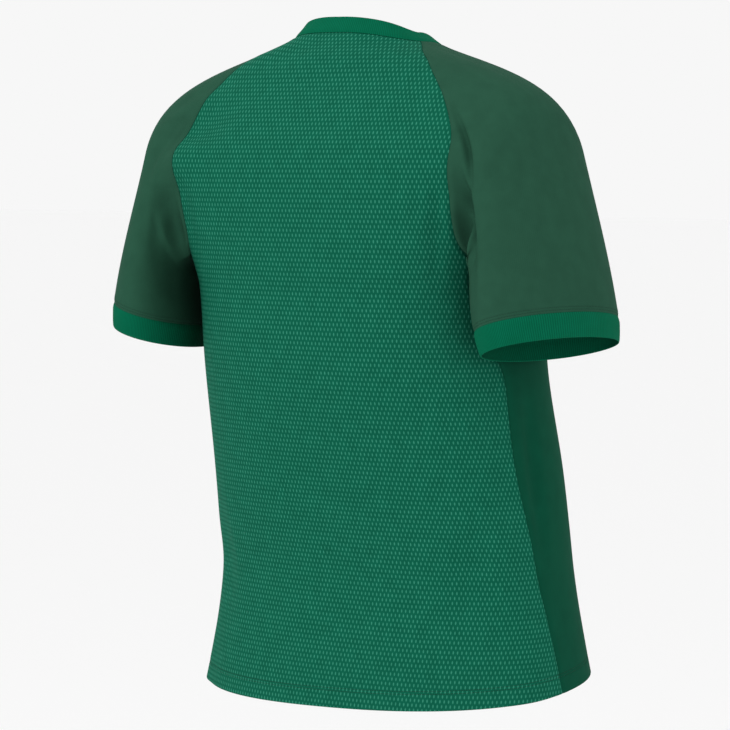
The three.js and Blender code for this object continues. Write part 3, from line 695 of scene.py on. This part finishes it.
def paint_shade_and_relief(tree, shader, tone, height=None, strength=0.0, distance=0.0):
    """Links a cloth's colour, darkened by painted shade inside its folds and between parts, and its relief.
    """
    # Painted shade: ambient occlusion darkens the base colour in folds and between parts; fold is the share
    # of colour left after this painted shade
    openness = add(tree, "ShaderNodeAmbientOcclusion", {"Distance": PAINTED_SHADE_REACH}, samples=6).outputs["AO"]
    fold = add(tree, "ShaderNodeMapRange",
               {0: openness, 1: ENCLOSED, 2: OPEN, 3: DARKEST_SHARE, 4: 1.0}).outputs[0]
    dark = add(tree, "ShaderNodeVectorMath", {0: tone, 3: fold}, operation="SCALE")
    tree.links.new(dark.outputs[0], shader.inputs["Base Color"])
    if height is not None:
        raised = add(tree, "ShaderNodeBump",
                     {"Height": height, "Strength": strength, "Distance": distance})
        tree.links.new(raised.outputs["Normal"], shader.inputs["Normal"])


# Warp-knitted polyester mesh: light raised dashes in offset rows over darker gaps, which gives
# the eye a fine shimmering grid. Pitch 4.6 mm across and 5.15 mm between rows.
def mesh_knit():
    material, tree, shader = cloth_material("polyester_mesh_knit", 0.8)
    cut = add(tree, "ShaderNodeUVMap", uv_map="cut").outputs["UV"]
    dashes = []
    for shift in (0.0, 0.5):
        cells = add(tree, "ShaderNodeVectorMath", {0: cut, 1: (1000 / MESH_PITCH, 1000 / MESH_ROWS, 0),
                                                   2: (shift, shift, 0)}, operation="MULTIPLY_ADD")
        part = add(tree, "ShaderNodeVectorMath", {0: cells.outputs[0]}, operation="FRACTION")
        middle = add(tree, "ShaderNodeVectorMath", {0: part.outputs[0], 1: (0.5, 0.5, 0)},
                     operation="SUBTRACT")
        halves = (MESH_PITCH / DASH_HALF_WIDTH, MESH_ROWS / DASH_HALF_LENGTH, 0)
        oval = add(tree, "ShaderNodeVectorMath", {0: middle.outputs[0], 1: halves}, operation="MULTIPLY")
        size = add(tree, "ShaderNodeVectorMath", {0: oval.outputs[0]}, operation="LENGTH")
        dashes.append(add(tree, "ShaderNodeMapRange",
                          {0: size.outputs["Value"], 1: 0.55, 2: 1.1, 3: 1.0, 4: 0.0},
                          interpolation_type="SMOOTHSTEP").outputs[0])
    dash = add(tree, "ShaderNodeMath", {0: dashes[0], 1: dashes[1]}, operation="MAXIMUM").outputs[0]
    place = add(tree, "ShaderNodeTexCoord").outputs["Object"]
    drift = add(tree, "ShaderNodeTexNoise", {"Vector": place, "Scale": 90.0, "Detail": 2.0}).outputs[0]
    gap = add(tree, "ShaderNodeMix", {"Factor": drift, "A": colour("07533e"), "B": colour("0c614a")},
              data_type="RGBA")
    yarn = add(tree, "ShaderNodeMix", {"Factor": drift, "A": colour("27775f"), "B": colour("3b8f76")},
               data_type="RGBA")
    tone = add(tree, "ShaderNodeMix",
               {"Factor": dash, "A": gap.outputs["Result"], "B": yarn.outputs["Result"]}, data_type="RGBA")
    paint_shade_and_relief(tree, shader, tone.outputs["Result"], dash, 0.35, 0.0004)
    return material


# Plain interlock knit: fine columns of loops about 0.7 mm wide, drawn 1.4 mm so that they show,
# which give the eye an even, matt cloth
def plain_knit(name, dark, light):
    material, tree, shader = cloth_material(name, 0.8)
    cut = add(tree, "ShaderNodeUVMap", uv_map="cut").outputs["UV"]
    columns = add(tree, "ShaderNodeTexWave",
                  {"Vector": cut, "Scale": 1000 / COLUMN_PITCH / math.tau, "Distortion": 0.6,
                   "Detail": 1.0, "Detail Scale": 2.0}, wave_type="BANDS", bands_direction="X")
    place = add(tree, "ShaderNodeTexCoord").outputs["Object"]
    drift = add(tree, "ShaderNodeTexNoise", {"Vector": place, "Scale": 60.0, "Detail": 3.0}).outputs[0]
    tone = add(tree, "ShaderNodeMix", {"Factor": drift, "A": colour(dark), "B": colour(light)},
               data_type="RGBA")
    paint_shade_and_relief(tree, shader, tone.outputs["Result"], columns.outputs["Fac"], 0.12, 0.0002)
    return material


# One-by-one rib knit in polyester: the ribs are raised in the mesh, 2.3 mm apart on the flat cut,
# and the grooves between them, where the loops turn away, are painted darker as shade
def rib_knit():
    material, tree, shader = cloth_material("polyester_rib_knit", 0.85)
    cut = add(tree, "ShaderNodeUVMap", uv_map="cut").outputs["UV"]
    across = add(tree, "ShaderNodeSeparateXYZ", {0: cut}).outputs["X"]
    turn = add(tree, "ShaderNodeMath", {0: across, 1: math.tau * 1000 / RIB_PITCH}, operation="MULTIPLY")
    wave = add(tree, "ShaderNodeMath", {0: turn.outputs[0]}, operation="COSINE").outputs[0]
    groove_shade_mix = add(tree, "ShaderNodeMapRange", {0: wave, 1: -1.0, 2: 0.6, 3: 0.0, 4: 1.0}).outputs[0]
    place = add(tree, "ShaderNodeTexCoord").outputs["Object"]
    drift = add(tree, "ShaderNodeTexNoise", {"Vector": place, "Scale": 70.0, "Detail": 2.0}).outputs[0]
    light = add(tree, "ShaderNodeMix", {"Factor": drift, "A": colour("036143"), "B": colour("056d4f")},
                data_type="RGBA")
    # Painted shade: the grooves between the ribs take the darker tone 03543b, the crowns the lighter one
    tone = add(tree, "ShaderNodeMix", {"Factor": groove_shade_mix, "A": colour("03543b"), "B": light.outputs["Result"]},
               data_type="RGBA")
    paint_shade_and_relief(tree, shader, tone.outputs["Result"])
    return material


# Spun polyester thread, dyed to the cloth: a matte twist
def thread_material():
    material, tree, shader = cloth_material("polyester_sewing_thread", 0.7)
    place = add(tree, "ShaderNodeTexCoord").outputs["Object"]
    twist = add(tree, "ShaderNodeTexNoise", {"Vector": place, "Scale": 900.0}).outputs[0]
    tone = add(tree, "ShaderNodeMix", {"Factor": twist, "A": colour("26473a"), "B": colour("335446")},
               data_type="RGBA")
    paint_shade_and_relief(tree, shader, tone.outputs["Result"])
    return material


mesh_cloth = mesh_knit()
side_cloth = plain_knit("polyester_interlock_dark_green", "074431", "0a4e39")
sleeve_cloth = plain_knit("polyester_interlock_grey_green", "234a39", "2a5542")
rib_cloth = rib_knit()
thread = thread_material()


# The pieces
def finish_piece(piece, material, node):
    piece.data.materials.append(material)
    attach(piece, "root")
    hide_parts(node)
    return piece


def hem_thickness(grid):
    folded = 1 - smoothstep(grid["from_edges"]["bottom"], HEM_FOLD - 1, HEM_FOLD + 1)
    return KNIT_THICK + HEM_EXTRA * folded


back = finish_piece(shell("back_panel", back_grid, hem_thickness(back_grid), round_first=True),
                    mesh_cloth, "back")
front = finish_piece(shell("front_panel", front_grid, hem_thickness(front_grid), round_first=True),
                     mesh_cloth, "front")
side_left = finish_piece(shell("left_side_panel", left_side, hem_thickness(left_side), round_first=True),
                         side_cloth, "side_panel_left")
side_right = finish_piece(shell("right_side_panel", right_side, hem_thickness(right_side), round_first=True),
                          side_cloth, "side_panel_right")
sleeve_left_grid = sleeve_grid("left")
sleeve_right_grid = mirrored(sleeve_grid("right"))
sleeve_left = finish_piece(shell("left_sleeve", sleeve_left_grid, KNIT_THICK, closed=True),
                           sleeve_cloth, "sleeve_left")
sleeve_right = finish_piece(shell("right_sleeve", sleeve_right_grid, KNIT_THICK, closed=True),
                            sleeve_cloth, "sleeve_right")
cuff_left_grid = cuff_grid("left")
cuff_right_grid = mirrored(cuff_grid("right"))
cuff_left = finish_piece(shell("left_cuff", cuff_left_grid, RIB_THICK, closed=True, round_last=True),
                         rib_cloth, "cuff_left")
cuff_right = finish_piece(shell("right_cuff", cuff_right_grid, RIB_THICK, closed=True, round_last=True),
                          rib_cloth, "cuff_right")
collar_rows = collar_grid()
collar = finish_piece(shell("neck_rib", collar_rows, RIB_THICK, closed=True, round_last=True),
                      rib_cloth, "collar")


# Sewing: each row of stitches follows a line of points on the cloth
def stitch_tree():
    """Geometry Nodes that set small stitches along the edges of a mesh, square to the cloth."""
    tree = bpy.data.node_groups.new("stitch_rows", "GeometryNodeTree")
    interface = tree.interface
    interface.new_socket("Geometry", in_out="INPUT", socket_type="NodeSocketGeometry")
    for name in ("Pitch", "Stitch Length", "Stitch Width"):
        interface.new_socket(name, in_out="INPUT", socket_type="NodeSocketFloat")
    interface.new_socket("Seed", in_out="INPUT", socket_type="NodeSocketInt")
    interface.new_socket("Thread", in_out="INPUT", socket_type="NodeSocketMaterial")
    interface.new_socket("Geometry", in_out="OUTPUT", socket_type="NodeSocketGeometry")
    given = tree.nodes.new("NodeGroupInput").outputs
    line = add(tree, "GeometryNodeMeshToCurve", {"Mesh": given["Geometry"]}).outputs["Curve"]
    spaced = add(tree, "GeometryNodeResampleCurve", {"Curve": line, "Length": given["Pitch"]}, mode="LENGTH")
    tangent = add(tree, "GeometryNodeInputTangent").outputs["Tangent"]
    square = add(tree, "GeometryNodeInputNamedAttribute", {"Name": "square"}, data_type="FLOAT_VECTOR")
    along = add(tree, "FunctionNodeAlignRotationToVector", {"Vector": tangent}, axis="X")
    turned = add(tree, "FunctionNodeAlignRotationToVector",
                 {"Rotation": along.outputs["Rotation"], "Vector": square.outputs["Attribute"]},
                 axis="Z", pivot_axis="X")
    size = add(tree, "ShaderNodeCombineXYZ", {"X": given["Stitch Length"], "Y": given["Stitch Width"],
                                              "Z": given["Stitch Width"]})
    vary = add(tree, "FunctionNodeRandomValue", {"Min": (0.9, 0.9, 0.9), "Max": (1.08, 1.1, 1.1),
                                                 "Seed": given["Seed"]}, data_type="FLOAT_VECTOR")
    scale = add(tree, "ShaderNodeVectorMath", {0: size.outputs["Vector"], 1: vary.outputs["Value"]},
                operation="MULTIPLY")
    stitch = add(tree, "GeometryNodeMeshIcoSphere", {"Radius": 0.5, "Subdivisions": 1})
    placed = add(tree, "GeometryNodeInstanceOnPoints", {"Points": spaced.outputs["Curve"],
                                                        "Instance": stitch.outputs["Mesh"],
                                                        "Rotation": turned.outputs["Rotation"],
                                                        "Scale": scale.outputs["Vector"]})
    real = add(tree, "GeometryNodeRealizeInstances", {"Geometry": placed.outputs["Instances"]})
    smooth = add(tree, "GeometryNodeSetShadeSmooth", {"Geometry": real.outputs["Geometry"]})
    dressed = add(tree, "GeometryNodeSetMaterial", {"Geometry": smooth.outputs["Geometry"],
                                                    "Material": given["Thread"]})
    add(tree, "NodeGroupOutput", {"Geometry": dressed.outputs["Geometry"]})
    return tree


def line_at(grid, edge, distance, closed=False):
    """Points and normals of the cloth at a distance from one of its edges."""
    away, place, normal = grid["from_edges"][edge], grid["place"], grid["normal"]
    columns = np.arange(place.shape[1])
    after = np.argmax(away > distance, axis=0) if edge == "bottom" else (away > distance).sum(axis=0) - 1
    before = after - 1 if edge == "bottom" else after + 1
    start, end = away[before, columns], away[after, columns]
    t = ((distance - start) / (end - start))[:, None]
    points = mix(place[before, columns], place[after, columns], t)
    normals = unit(mix(normal[before, columns], normal[after, columns], t))
    if closed:
        points, normals = np.vstack([points, points[:1]]), np.vstack([normals, normals[:1]])
    return points, normals


def stitching(name, lines, tree):
    """Stitches along the lines, as one plain mesh."""
    points = np.concatenate([line[0] for line in lines])
    squares = np.concatenate([line[1] for line in lines])
    starts = np.cumsum([0] + [len(line[0]) for line in lines])
    edges = [(k, k + 1) for low, high in zip(starts, starts[1:]) for k in range(low, high - 1)]
    path = bpy.data.meshes.new(name)
    path.from_pydata(((points + squares * STITCH_WIDTH * STITCH_STAND) * METRES).tolist(), edges, [])
    attribute = path.attributes.new("square", "FLOAT_VECTOR", "POINT")
    attribute.data.foreach_set("vector", squares.ravel())
    piece = bpy.data.objects.new(name, path)
    bpy.context.scene.collection.objects.link(piece)
    sewing = piece.modifiers.new("sewing", "NODES")
    sewing.node_group = tree
    values = {"Pitch": STITCH_PITCH * METRES, "Stitch Length": STITCH_LENGTH * METRES,
              "Stitch Width": STITCH_WIDTH * METRES, "Seed": STITCH_SEED, "Thread": thread}
    for item in tree.interface.items_tree:
        if item.in_out == "INPUT" and item.name in values:
            sewing[item.identifier] = values[item.name]
    depsgraph = bpy.context.evaluated_depsgraph_get()
    made = bpy.data.meshes.new_from_object(piece.evaluated_get(depsgraph))
    piece.modifiers.clear()
    piece.data = made
    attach(piece, "root")
    return piece


hem_lines = [line_at(grid, "bottom", row) for grid in (back_grid, front_grid, left_side, right_side)
             for row in HEM_STITCH_ROWS]
cuff_lines = [line_at(grid, "top", row, closed=True) for grid in (sleeve_left_grid, sleeve_right_grid)
              for row in CUFF_STITCH_ROWS]
stitches = stitching("sewing_stitches", hem_lines + cuff_lines, stitch_tree())


# Floor, light and camera
def stage_plane(name, size, height, tone):
    plane = bpy.data.meshes.new(name)
    corners = [(x * size, y * size, height) for x, y in ((-1, -1), (1, -1), (1, 1), (-1, 1))]
    plane.from_pydata(corners, [], [(0, 1, 2, 3)])
    floor = bpy.data.objects.new(name, plane)
    bpy.context.scene.collection.objects.link(floor)
    material = bpy.data.materials.new("matt_white_studio_floor")
    material.use_nodes = True
    shader = material.node_tree.nodes["Principled BSDF"]
    shader.inputs["Base Color"].default_value = colour(tone)
    shader.inputs["Roughness"].default_value = 1.0
    floor.data.materials.append(material)


def area_light(name, place, aim, size, power):
    lamp = bpy.data.lights.new(name, "AREA")
    lamp.shape = "DISK"
    lamp.size = size
    lamp.energy = power
    light = bpy.data.objects.new(name, lamp)
    light.location = place
    light.rotation_euler = (Vector(aim) - Vector(place)).to_track_quat("-Z", "Y").to_euler()
    bpy.context.scene.collection.objects.link(light)


FLOOR_HALF_SIZE, FLOOR_HEIGHT = 60.0, -1.7
WORLD_STRENGTH = 0.93
KEY_OFFSET, KEY_SIZE, KEY_POWER = (0.7, 2.2, 2.5), 2.0, 32.0
CAMERA_DISTANCE, LENS, SENSOR_WIDTH, CLIP_END = 3.3, 150.7, 36.0, 200.0

stage_plane("studio_floor", FLOOR_HALF_SIZE, FLOOR_HEIGHT, "fefefe")
world = bpy.data.worlds.new("pale_studio")
world.use_nodes = True
world.node_tree.nodes["Background"].inputs["Color"].default_value = colour("ffffff")
world.node_tree.nodes["Background"].inputs["Strength"].default_value = WORLD_STRENGTH
bpy.context.scene.world = world
aim = Vector((0.00265, 0.00186, -0.345))
towards_camera = Vector((-0.5722, 0.8172, 0.0698)).normalized()
area_light("key", aim + Vector(KEY_OFFSET), aim, KEY_SIZE, KEY_POWER)
camera_data = bpy.data.cameras.new("camera")
camera_data.lens = LENS
camera_data.sensor_width = SENSOR_WIDTH
camera_data.clip_end = CLIP_END
camera = bpy.data.objects.new("camera", camera_data)
camera.location = aim + towards_camera * CAMERA_DISTANCE
camera.rotation_euler = (-towards_camera).to_track_quat("-Z", "Y").to_euler()
bpy.context.scene.collection.objects.link(camera)
bpy.context.scene.camera = camera
bpy.context.scene.view_settings.view_transform = "Standard"
